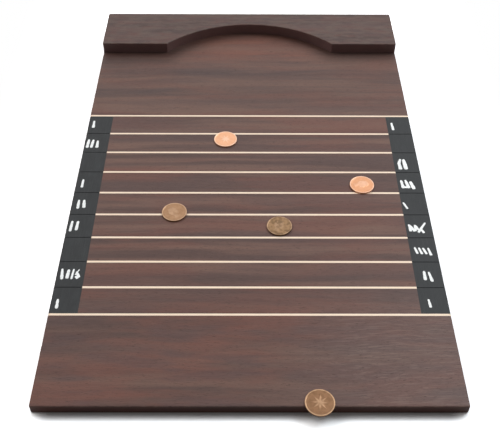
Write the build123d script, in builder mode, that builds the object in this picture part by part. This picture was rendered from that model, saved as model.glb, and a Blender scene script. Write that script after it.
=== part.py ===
from build123d import *
import os
from math import sqrt

# A shove halfpenny board: a flat hardwood board with ten inlaid lines, a blackened score strip let in
# along each side, a stop with a round bay screwed on at the far end, and five halfpennies.
# Millimetres. +X is the player's right, +Y runs away from the player, +Z is up.
# The origin is the centre of the underside, where the board rests on the table.

# Driving dimensions: the board
inch = 25.4
board_width = 14.5 * inch
board_length = 577.0
board_thickness = 0.375 * inch
corner_round = 1.6
arris_round = 1.2
underside_chamfer = 0.4

# Driving dimensions: the nine beds between ten lines
bed_count = 9
bed_pitch = 1.25 * inch
front_line_offset = 3.75 * inch
line_width = 2.4
line_depth = 2.0

# Driving dimensions: the score strips and the cuts that divide them into one box for each bed
strip_width = 27.0
strip_depth = 1.6
box_cut_width = 0.8
box_cut_depth = 0.5

# Driving dimensions: the stop
stop_depth = 69.0
stop_thickness = 0.5 * inch
bay_chord = 207.0
bay_depth = 43.4
stop_corner_round = 1.6
stop_arris_chamfer = 0.6

# Driving dimensions: the wood screws, driven from beneath
screw_length = 19.0
screw_head_diameter = 7.9
screw_shank_diameter = 4.2
screw_thread_length = 11.0
screw_slot_width = 1.1
screw_slot_depth = 1.0
screw_clearance = 0.15
screw_sink = 0.3
screw_end_inset = 24.0

# Driving dimensions: the halfpennies
coin_diameter = 25.48
coin_thickness = 1.6
coin_rim_width = 1.1
coin_rim_height = 0.22
coin_edge_chamfer = 0.12
star_points = 8
star_outer_radius = 8.8
star_inner_radius = 3.6
star_height = 0.12

# Where the five halfpennies lie: right of the middle line, in from the front edge, and turn in degrees
coin_places = [
    (-26.8, 338.7, 20.0),
    (118.9, 265.5, 75.0),
    (-76.9, 224.7, 140.0),
    (30.0, 205.5, 200.0),
    (58.5, 3.3, 310.0),
]

# Places worked out from the driving dimensions
front_y = -board_length / 2
back_y = board_length / 2
surface_z = board_thickness
first_line_y = front_y + front_line_offset
last_line_y = first_line_y + bed_count * bed_pitch
strip_inner_x = board_width / 2 - strip_width
strip_centre_x = board_width / 2 - strip_width / 2
strip_length = bed_count * bed_pitch - line_width
strip_centre_y = (first_line_y + last_line_y) / 2
stop_front_y = back_y - stop_depth
bay_apex_y = stop_front_y + bay_depth
bay_radius = (bay_chord**2 / 4 + bay_depth**2) / (2 * bay_depth)
bay_centre_y = bay_apex_y - bay_radius
screw_head_radius = screw_head_diameter / 2
screw_shank_radius = screw_shank_diameter / 2
coin_radius = coin_diameter / 2

os.makedirs("parts", exist_ok=True)


# The planed blank: square below, with its top arris and its four corners eased.
with BuildPart() as board_blank:
    with BuildSketch(Plane.XY):
        RectangleRounded(board_width, board_length, corner_round)
    extrude(amount=board_thickness)
    fillet(board_blank.faces().sort_by(Axis.Z)[-1].edges(), radius=arris_round)
    chamfer(board_blank.faces().sort_by(Axis.Z)[0].edges(), length=underside_chamfer)


# The wood screw stands head down, with its head just under the board's underside. Its threaded part
# tapers evenly to the point.
shank_z = screw_sink + screw_head_radius - screw_shank_radius
tip_z = screw_sink + screw_length
thread_z = tip_z - screw_thread_length

with BuildPart() as wood_screw:
    with BuildSketch(Plane.XZ):
        with BuildLine():
            Polyline(
                (0, screw_sink),
                (screw_head_radius, screw_sink),
                (screw_shank_radius, shank_z),
                (screw_shank_radius, thread_z),
                (0, tip_z),
                close=True,
            )
        make_face()
    revolve(axis=Axis.Z)

# The same screw without its slot is the shape that the pilot holes in the stop are cut to.
screw_solid = wood_screw.part

with BuildPart() as slotted_screw:
    add(screw_solid)
    with BuildSketch(Plane.XY.offset(screw_sink)):
        Rectangle(screw_head_diameter, screw_slot_width)
    extrude(amount=screw_slot_depth, mode=Mode.SUBTRACT)

# Four screws: one in the middle of each broad end of the stop, two along the narrow part behind the bay.
screw_end_x = board_width / 2 - screw_end_inset
screw_row_x = screw_end_x / 3
screw_end_y = (stop_front_y + back_y) / 2
screw_row_y = (bay_apex_y + back_y) / 2
screw_places = [
    (-screw_end_x, screw_end_y),
    (-screw_row_x, screw_row_y),
    (screw_row_x, screw_row_y),
    (screw_end_x, screw_end_y),
]


# The playing board: the blank with its line grooves, its two strip beds and its screw holes.
with BuildPart() as playing_board:
    add(board_blank.part)
    with BuildSketch(Plane.XY.offset(surface_z)):
        with Locations((0, first_line_y), (0, last_line_y)):
            Rectangle(board_width, line_width)
    extrude(amount=-line_depth, mode=Mode.SUBTRACT)
    with BuildSketch(Plane.XY.offset(surface_z)):
        with Locations((0, strip_centre_y)):
            with GridLocations(0, bed_pitch, 1, bed_count - 1):
                Rectangle(2 * strip_inner_x, line_width)
    extrude(amount=-line_depth, mode=Mode.SUBTRACT)
    with BuildSketch(Plane.XY.offset(surface_z)):
        with Locations((0, strip_centre_y)):
            with GridLocations(2 * strip_centre_x, 0, 2, 1):
                Rectangle(strip_width, strip_length)
    extrude(amount=-strip_depth, mode=Mode.SUBTRACT)
    with Locations(Plane.XY.rotated((180, 0, 0))):
        with Locations([(x, -y) for x, y in screw_places]):
            CounterSinkHole(
                screw_shank_radius + screw_clearance,
                screw_head_radius + screw_sink,
                counter_sink_angle=90,
            )
playing_board.part.label = "playing_board"
export_step(playing_board.part, "parts/playing_board.step")


# The inlaid lines: pale strings of wood glued into their grooves and planed flush with the board.
# The first and the last run out to both sides, the eight between them stop at the score strips.
def inlaid_line(y, length):
    with BuildPart() as line:
        add(board_blank.part)
        with BuildSketch(Plane.XY.offset(surface_z)):
            with Locations((0, y)):
                Rectangle(length, line_width)
        extrude(amount=-line_depth, mode=Mode.INTERSECT)
    return line.part


for number in range(bed_count + 1):
    is_outer = number in (0, bed_count)
    bed_line = inlaid_line(first_line_y + number * bed_pitch, board_width if is_outer else 2 * strip_inner_x)
    bed_line.label = f"bed_line_{number + 1:02d}"
    export_step(bed_line, f"parts/{bed_line.label}.step")


# The score strips: thin blackened panels let in flush, each divided by a fine cut in line with every
# inner line of the beds.
def score_strip(side):
    with BuildPart() as strip:
        add(board_blank.part)
        with BuildSketch(Plane.XY.offset(surface_z)):
            with Locations((side * strip_centre_x, strip_centre_y)):
                Rectangle(strip_width, strip_length)
        extrude(amount=-strip_depth, mode=Mode.INTERSECT)
        with BuildSketch(Plane.XY.offset(surface_z)):
            with Locations((side * strip_centre_x, strip_centre_y)):
                with GridLocations(0, bed_pitch, 1, bed_count - 1):
                    Rectangle(strip_width, box_cut_width)
        extrude(amount=-box_cut_depth, mode=Mode.SUBTRACT)
    return strip.part


for side_name, side in (("left", -1), ("right", 1)):
    strip = score_strip(side)
    strip.label = f"score_strip_{side_name}"
    export_step(strip, f"parts/{strip.label}.step")


# The stop: a bar as wide as the board, with a round bay in its front that catches the coins.
with BuildPart() as arched_stop:
    with BuildSketch(Plane.XY.offset(surface_z)):
        with BuildLine():
            front_right = Line((bay_chord / 2, stop_front_y), (board_width / 2, stop_front_y))
            Polyline(
                front_right @ 1,
                (board_width / 2, back_y),
                (-board_width / 2, back_y),
                (-board_width / 2, stop_front_y),
                (-bay_chord / 2, stop_front_y),
            )
            ThreePointArc((-bay_chord / 2, stop_front_y), (0, bay_apex_y), front_right @ 0)
        make_face()
    extrude(amount=stop_thickness)
    outer_corners = arched_stop.edges().filter_by(Axis.Z).filter_by(lambda e: abs(e.center().X) > bay_chord / 2 + 1)
    fillet(outer_corners, radius=stop_corner_round)
    chamfer(arched_stop.faces().sort_by(Axis.Z)[-1].edges(), length=stop_arris_chamfer)
    with Locations([Location((x, y, 0)) for x, y in screw_places]):
        add(screw_solid, mode=Mode.SUBTRACT)
arched_stop.part.label = "arched_stop"
export_step(arched_stop.part, "parts/arched_stop.step")


# The screws that hold the stop, driven up through the board.
with BuildPart() as stop_screws:
    with Locations([Location((x, y, 0)) for x, y in screw_places]):
        add(slotted_screw.part)
stop_screws.part.label = "stop_screws"
export_step(stop_screws.part, "parts/stop_screws.step")


# The halfpenny: a disc with a raised rim and a star in low relief on both faces. The star lies lower
# than the rim, so that the coin slides on its rim.
field_z = coin_rim_height
rim_inner_radius = coin_radius - coin_rim_width
star_outline = [
    Vector(star_inner_radius if corner % 2 else star_outer_radius, 0).rotate(Axis.Z, 180 * corner / star_points)
    for corner in range(2 * star_points)
]

with BuildPart() as struck_coin:
    with BuildSketch(Plane.XZ):
        with BuildLine():
            Polyline(
                (0, field_z),
                (rim_inner_radius - coin_rim_height, field_z),
                (rim_inner_radius, 0),
                (coin_radius, 0),
                (coin_radius, coin_thickness),
                (rim_inner_radius, coin_thickness),
                (rim_inner_radius - coin_rim_height, coin_thickness - field_z),
                (0, coin_thickness - field_z),
                close=True,
            )
        make_face()
    revolve(axis=Axis.Z)
    outer_rings = struck_coin.edges().filter_by(GeomType.CIRCLE).filter_by(lambda e: e.radius > coin_radius - 0.01)
    chamfer(outer_rings, length=coin_edge_chamfer)
    for relief_z, rise in ((coin_thickness - field_z, star_height), (field_z, -star_height)):
        with BuildSketch(Plane.XY.offset(relief_z)):
            with BuildLine():
                Polyline(*star_outline, close=True)
            make_face()
        extrude(amount=rise)

# Each halfpenny can be shoved from the start, where it overhangs the front edge, as far as the stop: on to
# the round of the bay, or to the stop's straight front where it lies outside the bay. The travel is printed.
start_along = coin_places[-1][1]
for number, (across, along, turn) in enumerate(coin_places, start=1):
    with BuildPart() as halfpenny:
        with Locations(Location((across, front_y + along, surface_z), (0, 0, turn))):
            add(struck_coin.part)
    halfpenny.part.label = f"halfpenny_{number}"
    export_step(halfpenny.part, f"parts/{halfpenny.part.label}.step")
    if abs(across) + coin_radius < bay_chord / 2:
        far_y = bay_centre_y + sqrt((bay_radius - coin_radius) ** 2 - across**2)
    else:
        far_y = stop_front_y - coin_radius
    print(f"halfpenny_{number}: back {along - start_along:.1f}, on {far_y - front_y - along:.1f}")
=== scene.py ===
from math import pi, radians

import bpy
import numpy as np
from mathutils import Matrix, Vector


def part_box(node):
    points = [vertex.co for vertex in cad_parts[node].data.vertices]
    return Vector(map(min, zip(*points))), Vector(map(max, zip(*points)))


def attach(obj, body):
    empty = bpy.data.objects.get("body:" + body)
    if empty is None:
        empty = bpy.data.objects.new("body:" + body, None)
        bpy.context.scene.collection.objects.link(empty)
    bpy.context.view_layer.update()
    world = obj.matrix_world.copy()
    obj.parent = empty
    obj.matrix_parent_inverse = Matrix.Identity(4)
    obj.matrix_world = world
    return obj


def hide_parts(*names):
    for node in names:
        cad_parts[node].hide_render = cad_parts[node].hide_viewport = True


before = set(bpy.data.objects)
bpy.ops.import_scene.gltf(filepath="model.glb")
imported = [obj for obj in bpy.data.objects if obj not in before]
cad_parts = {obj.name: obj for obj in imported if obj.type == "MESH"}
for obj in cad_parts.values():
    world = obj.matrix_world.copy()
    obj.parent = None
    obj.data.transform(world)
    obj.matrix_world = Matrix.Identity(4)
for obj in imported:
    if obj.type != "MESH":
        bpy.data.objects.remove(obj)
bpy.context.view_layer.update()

mm = 0.001


# The camera
# It stands at the player's end of the board, over half a metre above the table, and looks down along
# the board. Its lens is a little longer than a standard one.
camera_place = Vector((-2.25, -641.52, 604.575)) * mm
camera_lens = 58.327
look_down = radians(46.137)
look_right = radians(0.273)
camera_roll = radians(0.289)

camera_data = bpy.data.cameras.new("player_camera")
camera_data.lens = camera_lens
camera_data.sensor_width = 36.0
camera_data.clip_start = 0.01
camera_data.clip_end = 50.0
camera = bpy.data.objects.new("player_camera", camera_data)
camera.matrix_world = (
    Matrix.Translation(camera_place)
    @ Matrix.Rotation(-look_right, 4, "Z")
    @ Matrix.Rotation(pi / 2 - look_down, 4, "X")
    @ Matrix.Rotation(camera_roll, 4, "Z")
)
bpy.context.collection.objects.link(camera)
bpy.context.scene.camera = camera


# The playing board
# One flat panel of dark red-brown ribbon-grained hardwood, with its grain across the board. It is planed,
# its top arris is eased, and it has a thin satin varnish that coins have polished.
class Signal:
    """One output of a node. Arithmetic with signals and numbers adds Math nodes."""

    def __init__(self, recipe, socket):
        self.recipe = recipe
        self.socket = socket

    def math(self, operation, first, second=0.0):
        return self.recipe.node("Math", {"operation": operation}, {0: first, 1: second})

    def __add__(self, other):
        return self.math("ADD", self, other)

    def __sub__(self, other):
        return self.math("SUBTRACT", self, other)

    def __rsub__(self, other):
        return self.math("SUBTRACT", other, self)

    def __mul__(self, other):
        return self.math("MULTIPLY", self, other)

    def __abs__(self):
        return self.math("ABSOLUTE", self)

    __radd__ = __add__
    __rmul__ = __mul__

    def rise(self, low, high):
        """0 up to the value low and 1 from the value high, with a smooth step between them."""
        ends = {"Value": self, "From Min": low, "From Max": high}
        return self.recipe.node("MapRange", {"interpolation_type": "SMOOTHSTEP"}, ends)


class Recipe:
    """The nodes of a material or of the world, round the one shader that they feed."""

    def __init__(self, holder, shader="Principled BSDF", constants=None):
        holder.use_nodes = True
        self.holder = holder
        self.tree = holder.node_tree
        self.shader = self.tree.nodes[shader]
        self.feed(constants or {})

    def set(self, node, sockets):
        for key, value in sockets.items():
            if isinstance(value, Signal):
                self.tree.links.new(value.socket, node.inputs[key])
            else:
                node.inputs[key].default_value = value

    def feed(self, sockets):
        """Sets or links sockets of the shader."""
        self.set(self.shader, sockets)

    def node(self, kind, settings, sockets, output=0):
        """Adds one node: its settings come first, then the value or the link of each socket."""
        node = self.tree.nodes.new("ShaderNode" + kind)
        for name, value in settings.items():
            setattr(node, name, value)
        self.set(node, sockets)
        return Signal(self, node.outputs[output])

    def mix(self, share, first, second):
        """The first colour where the share is 0, the second where it is 1."""
        return self.node("Mix", {"data_type": "RGBA"}, {0: share, 6: first, 7: second}, output=2)

    def part(self, vector, axis):
        """One part of a vector: X, Y or Z."""
        return self.node("SeparateXYZ", {}, {"Vector": vector}, output=axis)

    def noise(self, place, blot, detail=2.0, shift=0.0):
        """Noise about one half, with blots of the given millimetres along x, y and z."""
        scale = [1 / (size * mm) for size in blot]
        scaled = self.node("Mapping", {}, {"Vector": place, "Location": [shift] * 3, "Scale": scale})
        return self.node("TexNoise", {}, {"Vector": scaled, "Scale": 1.0, "Detail": detail})

    def bump(self, height, depth):
        """A bump that is depth metres high where the height signal is 1."""
        return self.node("Bump", {}, {"Height": height, "Distance": depth, "Strength": 1.0})


def colour(red, green, blue):
    """A colour as a screen shows it, 0 to 255, turned into the linear light that shaders use."""
    screen = np.array([red, green, blue]) / 255
    linear = np.where(screen <= 0.04045, screen / 12.92, ((screen + 0.055) / 1.055) ** 2.4)
    return (*linear.tolist(), 1.0)


def hardwood(name, shift, band, patch, tones, marks):
    """Dark ribbon-grained hardwood, grain along x. The shift picks another part of the same log, a band and
    a patch are its figure's blots in millimetres, the tones are its dark, light, red and grey wood and a
    painted tone for its upright sides, which stands in for their light and shade, and the marks function
    adds the colour that only one piece has."""
    dark, light, red, grey, edge = tones
    wood = Recipe(bpy.data.materials.new(name), constants={"Specular IOR Level": 0.3})
    at = wood.node("TexCoord", {}, {}, output="Object")
    sway = (wood.noise(at, (170, 70, 70), shift=shift) - 0.5) * (16 * mm)
    swayed = wood.node("CombineXYZ", {}, {"Y": sway, "Z": sway})
    place = wood.node("VectorMath", {"operation": "ADD"}, {0: at, 1: swayed})

    bands = wood.noise(place, band, detail=2.0, shift=shift + 1).rise(0.36, 0.64)
    flames = wood.noise(place, patch, detail=3.0, shift=shift + 3).rise(0.44, 0.64)
    shades = wood.noise(place, patch, detail=3.0, shift=shift + 17).rise(0.44, 0.64)
    streaks = wood.noise(place, (70, 2.2, 2.2), detail=3.0, shift=shift + 5).rise(0.36, 0.64)
    fibres = wood.noise(place, (14, 0.5, 0.5), detail=2.0, shift=shift + 7).rise(0.35, 0.65)
    pores = wood.noise(place, (5, 0.45, 0.45), detail=1.0, shift=shift + 9).rise(0.62, 0.70)

    tone = wood.mix(bands, dark, light)
    tone = wood.mix(flames * 0.55, tone, red)
    tone = wood.mix(shades * 0.45, tone, grey)
    tone = marks(wood, at, place, tone)
    tone = wood.mix((1 - streaks) * 0.14, tone, colour(70, 52, 49))
    tone = wood.mix(fibres * 0.12, tone, colour(132, 108, 96))
    tone = wood.mix(pores * 0.5, tone, colour(46, 33, 31))

    facing = abs(wood.part(wood.node("NewGeometry", {}, {}, output="Normal"), "Z"))
    side = 1 - facing.rise(0.2, 0.7)
    arris = facing.rise(0.1, 0.5) * (1 - facing.rise(0.93, 0.99))
    rubbed = wood.noise(at, (9, 9, 3), detail=3.0, shift=shift + 11).rise(0.45, 0.62)
    # Painted light and shade: upright sides take a tone of their own in place of how light falls on them.
    tone = wood.mix(side * 0.5, tone, edge)
    tone = wood.mix(arris * rubbed * 0.3, tone, colour(142, 114, 101))

    roughness = 0.42 + 0.08 * streaks + 0.12 * pores
    relief = fibres * 0.35 - pores
    wood.feed({"Base Color": tone, "Roughness": roughness, "Normal": wood.bump(relief, 0.05 * mm)})
    return wood


def dress(node, recipe):
    """Gives a CAD piece a finish in place of its own."""
    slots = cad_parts[node].data.materials
    slots.clear()
    slots.append(recipe.holder)


stop_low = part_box("arched_stop")[0]
bay_chord = 207.0 * mm
bay_depth = 43.4 * mm
bay_radius = (bay_chord**2 / 4 + bay_depth**2) / (2 * bay_depth)
bay_centre_y = stop_low.y + bay_depth - bay_radius


def board_marks(wood, at, place, tone):
    """Two long dark growth bands behind the last line, darker wood towards both ends, a redder heart in
    and before the bay, a painted shade along the foot of the stop, and at the front broader red and grey
    clouds, a greyer wash to the right that is a painted sheen, and a fine pale figure there. Places are in
    metres from the board's centre."""
    x, y = wood.part(at, "X"), wood.part(at, "Y")
    along = wood.part(place, "Y")
    front = 1 - y.rise(-0.22, -0.14)
    thin = wood.noise(place, (90, 12, 12), detail=2.0, shift=21).rise(0.35, 0.6)
    for band_y, reach in ((0.177, x.rise(-0.13, -0.07)), (0.137, 1 - x.rise(-0.12, -0.04))):
        band = (1 - abs(along - band_y).rise(0.001, 0.009)) * reach * (0.4 + 0.6 * thin)
        tone = wood.mix(band * 0.8, tone, colour(66, 54, 55))
    margin = y.rise(0.08, 0.14) + (1 - y.rise(-0.22, -0.10))
    tone = wood.mix(margin * 0.26, tone, colour(78, 60, 54))
    heart = y.rise(0.190, 0.215) * (1 - abs(x).rise(0.04, 0.12)) * (0.35 + 0.65 * thin)
    tone = wood.mix(heart * 0.5, tone, colour(132, 78, 60))
    from_centre = wood.node("CombineXYZ", {}, {"X": x, "Y": y - bay_centre_y})
    from_bay = bay_radius - wood.node("VectorMath", {"operation": "LENGTH"}, {0: from_centre}, output="Value")
    from_stop = from_bay.math("MAXIMUM", from_bay, stop_low.y - y)
    # Painted shade: the wood darkens within about 27 mm of the stop's foot, where the stop's shadow falls.
    tone = wood.mix((1 - from_stop.rise(0.004, 0.027)) * 0.5, tone, colour(56, 42, 39))
    cloud = wood.noise(place, (80, 17, 17), detail=2.0, shift=27).rise(0.40, 0.64)
    haze = wood.noise(place, (60, 13, 13), detail=2.0, shift=31).rise(0.44, 0.66)
    tone = wood.mix(front * cloud * 0.6, tone, colour(112, 72, 62))
    tone = wood.mix(front * haze * 0.5, tone, colour(78, 62, 62))
    right = x.rise(0.0, 0.12)
    figure = wood.noise(place, (17, 1.4, 1.4), detail=3.0, shift=35).rise(0.46, 0.68)
    # Painted sheen: a greyer wash over the front right stands in for the window's reflection there.
    tone = wood.mix(front * right * 0.45, tone, colour(96, 79, 75))
    return wood.mix(front * right * figure * 0.2, tone, colour(150, 128, 118))


board_low, board_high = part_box("playing_board")
board_half_width = (board_high.x - board_low.x) / 2
board_half_length = (board_high.y - board_low.y) / 2

# The last tone is painted shade for the board's upright sides.
board_tones = [
    colour(*rgb) for rgb in ((80, 60, 56), (112, 84, 74), (112, 70, 60), (82, 64, 62), (76, 40, 32))
]
board_wood = hardwood("board_hardwood", 0.0, (420, 13, 13), (140, 20, 20), board_tones, board_marks)
dress("playing_board", board_wood)


# The arched stop
# A bar of the same hardwood across the far end, sawn to a round bay, sanded and varnished as the board.
# It is screwed on from beneath. Its top shows smaller mottles than the board.
def stop_marks(wood, at, place, tone):
    """Small greenish-brown mottles."""
    mottle = wood.noise(place, (15, 5, 5), detail=2.0, shift=47).rise(0.42, 0.62)
    return wood.mix(mottle * 0.5, tone, colour(92, 76, 68))


# The last tone is painted light for the stop's upright faces.
stop_tones = [
    colour(*rgb) for rgb in ((66, 49, 46), (86, 64, 59), (92, 59, 53), (72, 57, 56), (142, 108, 106))
]
stop_wood = hardwood("stop_hardwood", 40.0, (200, 8, 8), (26, 8, 8), stop_tones, stop_marks)
dress("arched_stop", stop_wood)


# The bed lines
# Ten strings of pale close-grained wood, glued into grooves and planed flush, under the same varnish.
# The first and the last run out to both sides of the board.
inlay = Recipe(bpy.data.materials.new("pale_inlay"))
at = inlay.node("TexCoord", {}, {}, output="Object")
grain = inlay.noise(at, (40, 0.6, 0.6), detail=3.0).rise(0.3, 0.7)
soil = inlay.noise(at, (22, 6, 6), detail=3.0).rise(0.5, 0.8)
tone = inlay.mix(grain * 0.5, colour(252, 228, 204), colour(240, 213, 186))
tone = inlay.mix(soil * 0.15, tone, colour(222, 194, 162))
inlay.feed({"Base Color": tone, "Roughness": 0.42 + 0.1 * grain, "Normal": inlay.bump(grain, 0.02 * mm)})
for number in range(1, 11):
    dress(f"bed_line_{number:02d}", inlay)


# The score strips
# Thin panels with matt black chalkboard paint, let in flush along both sides. Wiped chalk has left a
# grey haze on them.
slate = Recipe(bpy.data.materials.new("chalkboard_black"), constants={"Specular IOR Level": 0.45})
at = slate.node("TexCoord", {}, {}, output="Object")
haze = slate.noise(at, (9, 22, 9), detail=4.0).rise(0.35, 0.75)
wipes = slate.noise(at, (0.9, 14, 2), detail=3.0).rise(0.45, 0.8)
grit = slate.noise(at, (0.35, 0.35, 0.35), detail=2.0).rise(0.35, 0.7)
tone = slate.mix(haze * 0.12 + wipes * 0.05, colour(30, 31, 32), colour(122, 123, 124))
tone = slate.mix(grit * 0.12, tone, colour(68, 70, 71))
slate.feed({"Base Color": tone, "Roughness": 0.62 + 0.2 * haze, "Normal": slate.bump(grit, 0.03 * mm)})
for side_name in ("left", "right"):
    dress(f"score_strip_{side_name}", slate)


# The chalk tallies
# Strokes of white chalk on the strips, one for each coin scored in a bed, drawn towards the player. Each
# is a low ridge of dust. In millimetres: where it starts and where it ends, each as how far out from the
# strip's inner edge and how far up its bed, and then how wide it is.
tallies = {
    "left": {
        9: [(20.9, 22.6, 20.7, 10.0, 3.4)],
        8: [(22.4, 21.6, 23.1, 7.2, 3.6), (17.4, 21.2, 18.5, 7.4, 3.6), (12.4, 19.6, 12.2, 7.4, 3.4)],
        6: [(19.7, 20.2, 19.8, 7.6, 3.0)],
        5: [(19.8, 21.0, 19.6, 8.0, 3.2), (14.5, 21.0, 13.4, 9.2, 3.7)],
        4: [(22.1, 22.4, 22.7, 7.9, 3.3), (16.3, 22.4, 16.8, 9.4, 3.6)],
        2: [
            (22.3, 22.8, 21.0, 9.4, 3.2),
            (15.8, 21.8, 16.3, 10.4, 3.5),
            (11.1, 22.4, 12.0, 9.7, 2.3),
            (5.8, 22.0, 8.9, 15.0, 1.5),
            (8.2, 19.2, 4.8, 11.8, 2.9),
            (8.6, 13.4, 5.6, 10.8, 3.3),
        ],
        1: [(20.6, 17.8, 20.4, 6.6, 3.1)],
    },
    "right": {
        9: [(5.6, 20.0, 6.5, 6.8, 3.2)],
        7: [(7.9, 21.4, 5.0, 12.4, 3.6), (5.7, 16.0, 6.3, 4.6, 4.5), (11.2, 21.0, 12.4, 4.6, 4.6)],
        6: [
            (4.3, 19.6, 5.5, 7.2, 3.6),
            (5.8, 9.2, 9.6, 8.8, 3.4),
            (8.8, 20.0, 11.4, 7.2, 3.8),
            (13.8, 17.8, 16.6, 5.8, 4.4),
        ],
        5: [(2.2, 17.8, 5.8, 8.4, 2.7)],
        4: [
            (3.8, 18.4, 4.6, 8.6, 3.0),
            (4.5, 17.4, 8.6, 8.4, 3.0),
            (9.8, 17.8, 9.4, 8.8, 2.9),
            (10.4, 17.0, 12.6, 10.6, 2.8),
            (20.8, 20.8, 11.8, 7.0, 3.1),
            (14.6, 13.6, 17.6, 6.4, 2.8),
        ],
        3: [
            (5.2, 19.2, 7.2, 10.4, 2.8),
            (9.2, 18.8, 11.6, 10.0, 2.8),
            (13.2, 18.4, 16.0, 10.0, 2.8),
            (18.3, 18.4, 20.2, 8.4, 3.0),
        ],
        2: [(9.9, 20.4, 9.8, 9.0, 3.3), (14.2, 19.4, 16.2, 7.2, 3.2)],
        1: [(9.0, 18.0, 9.8, 8.2, 2.8)],
    },
}
chalk_height = 0.06 * mm
stroke_rings = 25
stroke_around = 12
waver_knots = 7
waver_range = (0.86, 1.12)
line_pitch = 31.75 * mm
line_width = 2.4 * mm
strip_width = 27.0 * mm
first_line_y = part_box("bed_line_01")[0].y + line_width / 2
strip_inner_x = board_half_width - strip_width


def add_piece(name, points, faces, body, finish):
    """Makes a smooth mesh of the points and faces, which rides on a body and takes a slot's finish."""
    mesh = bpy.data.meshes.new(name)
    mesh.from_pydata(points.reshape(-1, 3).tolist(), [], faces)
    mesh.polygons.foreach_set("use_smooth", np.ones(len(mesh.polygons), dtype=bool))
    mesh.materials.append(finish.holder)
    piece = bpy.data.objects.new(name, mesh)
    bpy.context.collection.objects.link(piece)
    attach(piece, body)
    return piece


def ring_faces(rings, around, first=0):
    """Quads between neighbouring rings of points, and a fan over the pole at either end.
    The poles are the two points that follow the rings."""
    ring, step = np.meshgrid(np.arange(rings - 1), np.arange(around), indexing="ij")
    here = first + ring * around + step
    after = first + ring * around + (step + 1) % around
    quads = np.stack([here, here + around, after + around, after], axis=-1).reshape(-1, 4)
    step = np.arange(around)
    start_pole = np.full(around, first + rings * around)
    start_fan = np.stack([start_pole, first + step, first + (step + 1) % around], axis=-1)
    last = first + (rings - 1) * around
    end_fan = np.stack([start_pole + 1, last + (step + 1) % around, last + step], axis=-1)
    return quads.tolist() + start_fan.tolist() + end_fan.tolist()


def chalk_points(starts, ends, widths, seed):
    """Low ridges from starts to ends. Across, a ridge is an ellipse. Its half width and its height swell
    evenly from its start to its end, as the fourth root of 1 - s^6 rounds both ends, where s goes from -1
    to 1 along it, and a slow random waver roughens its sides."""
    along = np.linspace(-0.995, 0.995, stroke_rings)
    angle = np.arange(stroke_around) * 2 * pi / stroke_around
    knots = np.linspace(-1, 1, waver_knots)
    waver = np.random.default_rng(seed).uniform(*waver_range, (len(starts), waver_knots))
    waver = np.stack([np.interp(along, knots, row) for row in waver])
    swell = (0.86 + 0.16 * along) * (1 - along**6) ** (1 / 4) * waver
    run = (ends - starts) / np.linalg.norm(ends - starts, axis=1, keepdims=True)
    aside = np.stack([run[:, 1], -run[:, 0], np.zeros(len(run))], axis=-1)
    middle = starts[:, None] + (ends - starts)[:, None] * ((along + 1) / 2)[None, :, None]
    half_width = (widths[:, None] / 2 * swell)[:, :, None, None]
    across = half_width * np.cos(angle)[None, None, :, None] * aside[:, None, None]
    lift = chalk_height * swell[:, :, None, None] * np.sin(angle)[None, None, :, None] * np.array([0, 0, 1])
    return np.concatenate([
        (middle[:, :, None] + across + lift).reshape(len(starts), -1, 3),
        middle[:, [0, -1]],
    ], axis=1)


chalk = Recipe(
    bpy.data.materials.new("white_chalk"),
    constants={"Roughness": 0.95, "Specular IOR Level": 0.2},
)
at = chalk.node("TexCoord", {}, {}, output="Object")
crumbs = chalk.noise(at, (0.5, 0.8, 0.5), detail=3.0)
skips = chalk.noise(at, (1.2, 3.0, 1.2), detail=3.0, shift=4.0)
cover = (crumbs * 0.5 + skips * 0.5).rise(0.33, 0.43)
tone = chalk.mix(cover, colour(170, 173, 174), colour(255, 255, 253))
chalk.feed({"Base Color": tone, "Normal": chalk.bump(crumbs, 0.10 * mm)})

for seed, (side_name, side) in enumerate((("left", -1), ("right", 1))):
    marks = [(bed, mark) for bed, bed_marks in tallies[side_name].items() for mark in bed_marks]
    strokes = np.array([
        (side * (strip_inner_x + out * mm), first_line_y + (bed - 1) * line_pitch + up * mm, board_high.z)
        for bed, mark in marks
        for out, up in (mark[:2], mark[2:4])
    ]).reshape(-1, 2, 3)
    widths = np.array([mark[4] * mm for bed, mark in marks])
    points = chalk_points(strokes[:, 0], strokes[:, 1], widths, seed)
    faces = [
        face
        for number in range(len(strokes))
        for face in ring_faces(stroke_rings, stroke_around, first=number * points.shape[1])
    ]
    add_piece(f"chalk_tally_{side_name}", points, faces, "board", chalk)


# The stop's screws
# Four countersunk slotted wood screws of plain steel, driven up through the board and dulled by age.
steel = Recipe(bpy.data.materials.new("old_steel"), constants={"Metallic": 1.0})
at = steel.node("TexCoord", {}, {}, output="Object")
turning = steel.noise(at, (0.4, 0.4, 4.0), detail=2.0)
rust = steel.noise(at, (2.0, 2.0, 2.0), detail=4.0).rise(0.52, 0.68)
tone = steel.mix(turning, colour(128, 126, 122), colour(164, 162, 158))
tone = steel.mix(rust * 0.7, tone, colour(104, 74, 54))
steel.feed({"Base Color": tone, "Roughness": 0.34 + 0.35 * rust, "Normal": steel.bump(turning, 0.02 * mm)})
dress("stop_screws", steel)


# The halfpennies
# Five struck bronze coins, worn smooth by play: two rubbed bright, three toned brown. Each has a plain
# edge, a raised rim and a ring of beads. One face has a plain head in profile, the other a star. A coin
# lies on its rim, a hair's breadth clear of the board, so that the two share no plane.
coin_diameter = 25.48 * mm
coin_thickness = 1.6 * mm
coin_clearance = 0.005 * mm
coin_around = 360
edge_round = 0.14 * mm
rim_width = 1.1 * mm
rim_height = 0.22 * mm
relief_edge = 0.25 * mm
bead_count = 68
bead_ring = 10.75 * mm
bead_radius = 0.36 * mm
bead_height = 0.10 * mm
star_points = 8
star_outer = 8.8 * mm
star_inner = 3.6 * mm
star_height = 0.16 * mm
star_slope = 1.3 * mm


def smooth_rise(value, low, high):
    """0 below low and 1 above high, with 3 t^2 - 2 t^3 between them."""
    t = np.clip((value - low) / (high - low), 0, 1)
    return t * t * (3 - 2 * t)


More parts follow.
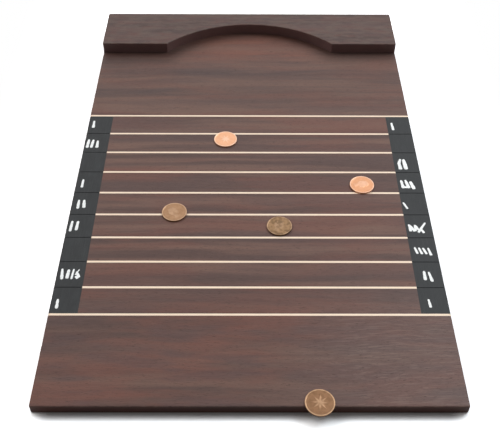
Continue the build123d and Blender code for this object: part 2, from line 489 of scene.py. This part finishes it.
def near_path(path, x, y):
    """The distance from each place to the nearest of the straight runs between the points of a path."""
    start, run = path[:-1], np.diff(path, axis=0)
    offset = np.stack([x, y], axis=-1)[:, None] - start
    share = np.clip((offset * run).sum(axis=-1) / (run * run).sum(axis=-1), 0, 1)
    return np.linalg.norm(offset - share[..., None] * run, axis=-1).min(axis=-1)


def rounded(corners, closed=True):
    """A curve through the corners, in metres. Between two of them it is the cubic whose slope at each is
    half the step from the corner before it to the corner after it."""
    padded = np.pad(corners, ((1, 2), (0, 0)), mode="wrap" if closed else "edge")[:, None] * mm
    before, here, after, beyond = padded[:-3], padded[1:-2], padded[2:-1], padded[3:]
    t = np.linspace(0, 1, 4, endpoint=False)[None, :, None]
    curve = (
        (2 * t**3 - 3 * t**2 + 1) * here
        + (t**3 - 2 * t**2 + t) * (after - before) / 2
        + (3 * t**2 - 2 * t**3) * after
        + (t**3 - t**2) * (beyond - here) / 2
    ).reshape(-1, 2)
    return np.vstack([curve, curve[:1]]) if closed else curve[:-3]


def depth_inside(outline, x, y):
    """How deep each place lies inside a closed outline, and below 0 outside it. A place is inside when a
    line from it to the right crosses the outline an odd number of times."""
    start, end = outline[:-1], outline[1:]
    crossed = (start[:, 1] > y[:, None]) != (end[:, 1] > y[:, None])
    rise_over = np.where(crossed, end[:, 1] - start[:, 1], 1)
    meets_x = start[:, 0] + (y[:, None] - start[:, 1]) * (end[:, 0] - start[:, 0]) / rise_over
    inside = (crossed & (meets_x > x[:, None])).sum(axis=1) % 2 == 1
    return np.where(inside, 1, -1) * near_path(outline, x, y)


# The head, in millimetres from the coin's centre. It is nobody's: the eye lies half way between chin and
# crown, the nose ends half way from the eye to the chin, and the ear lies behind the middle.
head_outline = rounded([
    (3.2, 5.2), (3.8, 4.1), (4.05, 3.1), (4.1, 2.5), (3.85, 1.8), (4.25, 0.9), (4.7, 0.0), (5.05, -0.75),
    (4.85, -1.15), (4.2, -1.3), (4.15, -1.7), (4.4, -2.05), (4.15, -2.3), (4.3, -2.6), (3.95, -2.95),
    (4.1, -3.5), (3.8, -4.1), (3.0, -4.4), (1.7, -4.25), (1.25, -5.2), (1.4, -6.4), (2.1, -7.4), (3.2, -8.1),
    (1.2, -8.8), (-1.2, -9.0), (-3.4, -8.7), (-5.2, -7.9), (-4.0, -6.8), (-3.6, -5.4), (-3.8, -4.1),
    (-4.8, -2.8), (-5.6, -1.2), (-6.0, 0.6), (-5.8, 2.6), (-5.0, 4.7), (-3.5, 6.4), (-1.4, 7.3), (0.8, 7.4),
    (2.4, 6.7),
])
hair_outline = rounded([
    (3.3, 5.3), (2.3, 4.5), (1.7, 3.3), (1.3, 2.2), (0.7, 1.0), (0.3, 1.7), (-0.6, 1.9), (-1.5, 1.1),
    (-1.8, -0.4), (-2.1, -2.0), (-3.0, -3.6), (-3.9, -4.4), (-4.9, -2.8), (-5.8, -1.2), (-6.2, 0.6),
    (-6.0, 2.6), (-5.2, 4.8), (-3.7, 6.6), (-1.5, 7.6), (0.9, 7.7), (2.6, 7.0),
])
# What stands proud of the head or lies in it: its path, its half width and its height, in millimetres.
head_marks = [
    ([(1.9, 2.5), (2.6, 2.95), (3.3, 2.9), (3.95, 2.55)], 0.5, 0.030),
    ([(3.4, 2.1), (3.6, 1.9)], 0.7, -0.026),
    ([(1.9, 1.35), (2.3, 1.75), (2.9, 1.9), (3.45, 1.65), (3.6, 1.4)], 0.22, 0.030),
    ([(1.9, 1.35), (2.5, 1.15), (3.1, 1.15), (3.55, 1.4)], 0.18, 0.020),
    ([(2.85, 1.5), (3.0, 1.5)], 0.33, 0.024),
    ([(4.3, -0.4), (3.85, -0.4), (3.6, -0.8), (3.75, -1.2)], 0.24, 0.020),
    ([(4.25, -1.1), (4.35, -1.1)], 0.20, -0.030),
    ([(4.2, -2.05), (3.8, -2.0), (3.3, -2.25)], 0.28, 0.020),
    ([(4.3, -2.3), (3.7, -2.35), (3.1, -2.45)], 0.17, -0.035),
    ([(4.15, -2.65), (3.7, -2.75), (3.3, -2.6)], 0.30, 0.020),
    ([(2.2, -0.4), (2.3, -0.6)], 1.90, 0.022),
    ([(3.5, -3.5), (3.6, -3.5)], 0.80, 0.015),
    ([(3.2, -4.5), (1.7, -4.1), (0.3, -3.2), (-0.5, -1.9)], 0.60, -0.040),
    ([
        (-0.5, 0.3), (-0.95, 0.7), (-0.9, 1.25), (-0.35, 1.5), (0.15, 1.15), (0.2, 0.4), (-0.1, -0.3),
        (-0.4, -0.9), (-0.75, -0.9), (-0.75, -0.4),
    ], 0.27, 0.045),
    ([(-0.5, 0.9), (-0.15, 0.8), (-0.2, 0.2), (-0.45, -0.3)], 0.24, -0.030),
    ([(0.6, -5.4), (0.3, -7.0), (-0.9, -8.4)], 0.9, 0.018),
    ([(-2.3, -5.2), (-2.4, -6.6), (-3.4, -7.9)], 1.0, 0.015),
]
head_reach = 9.6 * mm
head_height = 0.12 * mm
head_swell = 2.2 * mm
crown_x = -2.4 * mm
crown_y = 4.2 * mm
hair_edge = 0.4 * mm
hair_height = 0.032 * mm
lock_height = 0.013 * mm
lock_pitch = 1.5 * mm


def head_relief(radius, angle):
    """The height of the head over a coin's field. It swells as a quarter circle from its outline, and each
    mark is a smooth ridge or groove. The hair stands a little higher, in locks: wavy rings round the
    crown, with finer strands across them, both sine waves."""
    height = np.zeros(radius.size)
    within = (radius < head_reach).ravel()
    x = (radius * np.cos(angle)).ravel()[within]
    y = (radius * np.sin(angle)).ravel()[within]
    depth = depth_inside(head_outline, x, y)
    form = head_height * np.sqrt(1 - (1 - np.clip(depth / head_swell, 0, 1)) ** 2)
    for path, reach, rise in head_marks:
        aside = near_path(rounded(path, closed=False), x, y)
        form += rise * mm * (1 - smooth_rise(aside, 0, reach * mm))
    hair = smooth_rise(depth_inside(hair_outline, x, y), 0, hair_edge)
    from_crown = np.hypot(x - crown_x, y - crown_y)
    turn = np.arctan2(y - crown_y, x - crown_x)
    waves = np.cos(2 * pi * from_crown / lock_pitch + 1.1 * np.cos(11 * turn + from_crown / (1.6 * mm)))
    strands = np.cos(34 * turn + 5.0 * np.sin(from_crown / (1.9 * mm)))
    locks = waves * smooth_rise(from_crown, 0, 3 * mm)
    locks += 0.6 * strands * smooth_rise(from_crown, 1.5 * mm, 4.5 * mm)
    form += hair * (hair_height + lock_height * locks)
    height[within] = form * smooth_rise(depth, 0, relief_edge)
    return height.reshape(radius.shape)


def star_relief(radius, angle):
    """The height of the star over a coin's field. It slopes from the ridge of each point down to its
    outline, by the distance to that outline in the half sector that all its points mirror into."""
    sector = 2 * pi / star_points
    folded = np.abs((angle + sector / 2) % sector - sector / 2)
    tip = np.array([star_outer, 0])
    notch = star_inner * np.array([np.cos(sector / 2), np.sin(sector / 2)])
    side = (notch - tip) / np.linalg.norm(notch - tip)
    inside = (tip[0] - radius * np.cos(folded)) * side[1] + radius * np.sin(folded) * side[0]
    slope = 0.35 + 0.65 * np.clip(inside / star_slope, 0, 1)
    return star_height * smooth_rise(inside, 0, relief_edge) * slope


def coin_border(radius, angle):
    """The height of a coin's border over its field: the rim is a smooth step, and each bead is the top of
    a sine wave in both directions."""
    rim_inside = coin_diameter / 2 - rim_width
    rim = rim_height * smooth_rise(radius, rim_inside - relief_edge, rim_inside + 0.1 * mm)
    bead_turn = np.cos(angle * bead_count)
    bead_reach = np.clip(1 - np.abs(radius - bead_ring) / bead_radius, 0, 1)
    return rim + bead_height * np.clip(bead_turn, 0, 1) * np.sin(bead_reach * pi / 2)


def coin_points(centre, turn, is_head_up):
    """A closed coin as rings of points: out over the upper face, down the edge, and in under the lower
    face. The height of a face is its border and its head or star over the field, and a quarter circle
    rounds its edge. The rings lie closer together under the beads and the rim. Two poles follow."""
    half = coin_thickness / 2
    field = half - rim_height
    face_radii = np.concatenate([np.linspace(0.15, 9.7, 76), np.linspace(9.8, 12.5, 24)]) * mm
    corner = np.linspace(0, pi / 2, 5)
    corner_radii = coin_diameter / 2 - edge_round + edge_round * np.sin(corner)
    angle = np.arange(coin_around) * 2 * pi / coin_around
    radii, angles = np.meshgrid(np.concatenate([face_radii, corner_radii]), angle, indexing="ij")
    corner_drop = edge_round * (1 - np.cos(corner))
    sides = []
    for relief in (head_relief, star_relief) if is_head_up else (star_relief, head_relief):
        height = field + coin_border(radii, angles) + relief(radii, angles)
        height[len(face_radii):] = half - corner_drop[:, None]
        sides.append(np.stack([radii * np.cos(angles), radii * np.sin(angles), height], axis=-1))
    upper, lower = sides[0], sides[1][::-1] * np.array([1, 1, -1])
    poles = [upper[0].mean(axis=0), lower[-1].mean(axis=0)]
    points = np.concatenate([upper.reshape(-1, 3), lower.reshape(-1, 3), poles])
    cos, sin = np.cos(turn), np.sin(turn)
    return points @ np.array([[cos, sin, 0], [-sin, cos, 0], [0, 0, 1]]) + centre


def bronze(name, toning, hollow, field, proud):
    """Struck bronze: dark in the hollows and bright on what stands up, with blotches of toning, which
    darken it by their share."""
    metal = Recipe(bpy.data.materials.new(name), constants={"Metallic": 1.0})
    at = metal.node("TexCoord", {}, {}, output="Object")
    stand = metal.node("Attribute", {"attribute_name": "stand"}, {}, output="Fac")
    grime = metal.node("Attribute", {"attribute_name": "grime"}, {}, output="Fac")
    blotch = metal.noise(at, (4, 4, 4), detail=4.0).rise(0.35, 0.7)
    nicks = metal.noise(at, (0.5, 0.5, 0.5), detail=3.0)
    tone = metal.mix(stand.rise(0.1, 1.0), field, proud)
    tone = metal.mix(blotch * toning, tone, hollow)
    tone = metal.mix(grime * 0.8, tone, hollow)
    metal.feed({
        "Base Color": tone,
        "Roughness": 0.33 + 0.12 * blotch,
        "Normal": metal.bump(nicks, 0.02 * mm),
    })
    return metal


# Each coin's turn in degrees, whether its head is up, its finish, the share of its toning, and the colours
# of its hollows, its field and what stands up.
coin_looks = [
    (20, False, "bright_bronze", 0.3, colour(226, 166, 128), colour(246, 188, 149), colour(252, 212, 184)),
    (285, True, "bright_bronze", 0.4, colour(204, 145, 109), colour(226, 167, 128), colour(240, 196, 167)),
    (35, True, "brown_bronze", 0.3, colour(138, 104, 76), colour(180, 141, 109), colour(200, 164, 134)),
    (340, True, "brown_bronze", 0.7, colour(104, 82, 60), colour(164, 131, 99), colour(180, 147, 118)),
    (310, False, "brown_bronze", 0.4, colour(102, 75, 54), colour(143, 108, 81), colour(190, 153, 121)),
]

# How far each point stands over the field goes with the mesh, and so does its grime, which gathers where
# the points up to three steps away stand higher.
for number, (turn, is_head_up, slot, toning, *colours) in enumerate(coin_looks, start=1):
    node = f"halfpenny_{number}"
    coin_low, coin_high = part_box(node)
    centre = np.array((coin_low + coin_high) / 2) + (0, 0, coin_clearance)
    points = coin_points(centre, radians(turn), is_head_up)
    rings = (len(points) - 2) // coin_around
    metal = bronze(f"{node}_bronze", toning, *colours)
    faces = ring_faces(rings, coin_around)
    coin = add_piece(f"struck_{node}", points, faces, f"{node}_body", metal)
    stand = (np.abs(points[:, 2] - centre[2]) - coin_thickness / 2 + rim_height) / rim_height
    grid = stand[:-2].reshape(rings, coin_around)
    near = [np.roll(grid, shift, axis) for axis in (0, 1) for shift in (-3, -2, -1, 1, 2, 3)]
    grime = np.append(np.clip(4 * (np.mean(near, axis=0) - grid), 0, 1), (0, 0))
    for name, values in (("stand", stand), ("grime", grime)):
        coin.data.attributes.new(name, "FLOAT", "POINT").data.foreach_set("value", values.astype(np.float32))
    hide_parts(node)


# The floor and the light
# A plain white table top that keeps the object's shadow, with a painted shadow added just under the front
# edge. A wide soft window stands behind the board, strongest to the left, and a small cooler lamp to the
# right. Seen straight or in a shine, everything round the object is white.
floor_half = 4.0
floor_drop = 0.2 * mm
floor_mesh = bpy.data.meshes.new("table_top")
corners = [
    (x * floor_half, y * floor_half, -floor_drop) for x, y in ((-1, -1), (1, -1), (1, 1), (-1, 1))
]
floor_mesh.from_pydata(corners, [], [(0, 1, 2, 3)])
floor = bpy.data.objects.new("table_top", floor_mesh)
bpy.context.collection.objects.link(floor)


def sight_rays(recipe):
    """1 for a ray straight from the camera, and 1 for any ray that shows what it meets: straight from the
    camera, in a shine or through glass."""
    names = ("Is Camera Ray", "Is Glossy Ray", "Is Transmission Ray")
    straight, shine, through = [recipe.node("LightPath", {}, {}, output=name) for name in names]
    return straight, straight + shine + through


table = Recipe(bpy.data.materials.new("table_top"), constants={"Roughness": 1.0, "Specular IOR Level": 0.0})
at = table.node("TexCoord", {}, {}, output="Object")
straight, seen = sight_rays(table)
x, y = table.part(at, "X"), table.part(at, "Y")
beyond_side = abs(x) - board_half_width
beyond_end = abs(y) - board_half_length
away = beyond_side.math("MAXIMUM", beyond_side, beyond_end).rise(0.03, 0.12)
# Painted shadow: the table is darker in a strip just in front of the board's front edge.
painted_front_shadow = (1 - abs(y + board_half_length).rise(0.001, 0.012)) * (1 - beyond_side.rise(-0.016, -0.002))
white_share = 0.3 + 1.8 * straight + 0.6 * (seen - straight)
table.feed({"Base Color": (1 - 0.6 * painted_front_shadow) * white_share})
white = table.node("Emission", {}, {"Color": (1.0, 1.0, 1.0, 1.0), "Strength": 1.0})
painted = Signal(table, table.shader.outputs[0])
surface = table.node("MixShader", {}, {0: away * seen, 1: painted, 2: white})
table.tree.links.new(surface.socket, table.tree.nodes["Material Output"].inputs["Surface"])
floor_mesh.materials.append(table.holder)

bpy.context.scene.world = bpy.data.worlds.new("studio")
studio = Recipe(bpy.context.scene.world, shader="Background")
straight, seen = sight_rays(studio)
studio.feed({"Color": (1.0, 1.0, 1.0, 1.0), "Strength": 0.09 + 0.91 * seen})


def add_light(name, kind, place, power, spread):
    """A light at a place that faces the middle of the board. The spread is a panel's side in metres, or
    how many radians of sky a far light fills."""
    lamp = bpy.data.lights.new(name, kind)
    lamp.energy = power
    setattr(lamp, "angle" if kind == "SUN" else "size", spread)
    light = bpy.data.objects.new(name, lamp)
    facing = Vector(place).to_track_quat("Z", "Y").to_matrix().to_4x4()
    light.matrix_world = Matrix.Translation(place) @ facing
    bpy.context.collection.objects.link(light)
    return light


# Each pane's place and power.
window_panes = [((-1.6, 1.0, 1.1), 1.9), ((-0.2, 1.6, 1.2), 1.2), ((1.5, 0.9, 1.2), 0.5)]
for number, (place, power) in enumerate(window_panes, start=1):
    pane = add_light(f"window_{number}", "SUN", place, power, radians(50))
    pane.visible_glossy = False
side_panel = add_light("side_panel", "AREA", (1.05, 0.6, 1.2), 12.0, 0.9)
side_panel.data.color = (0.86, 0.94, 1.0)
bpy.context.scene.view_settings.view_transform = "Standard"
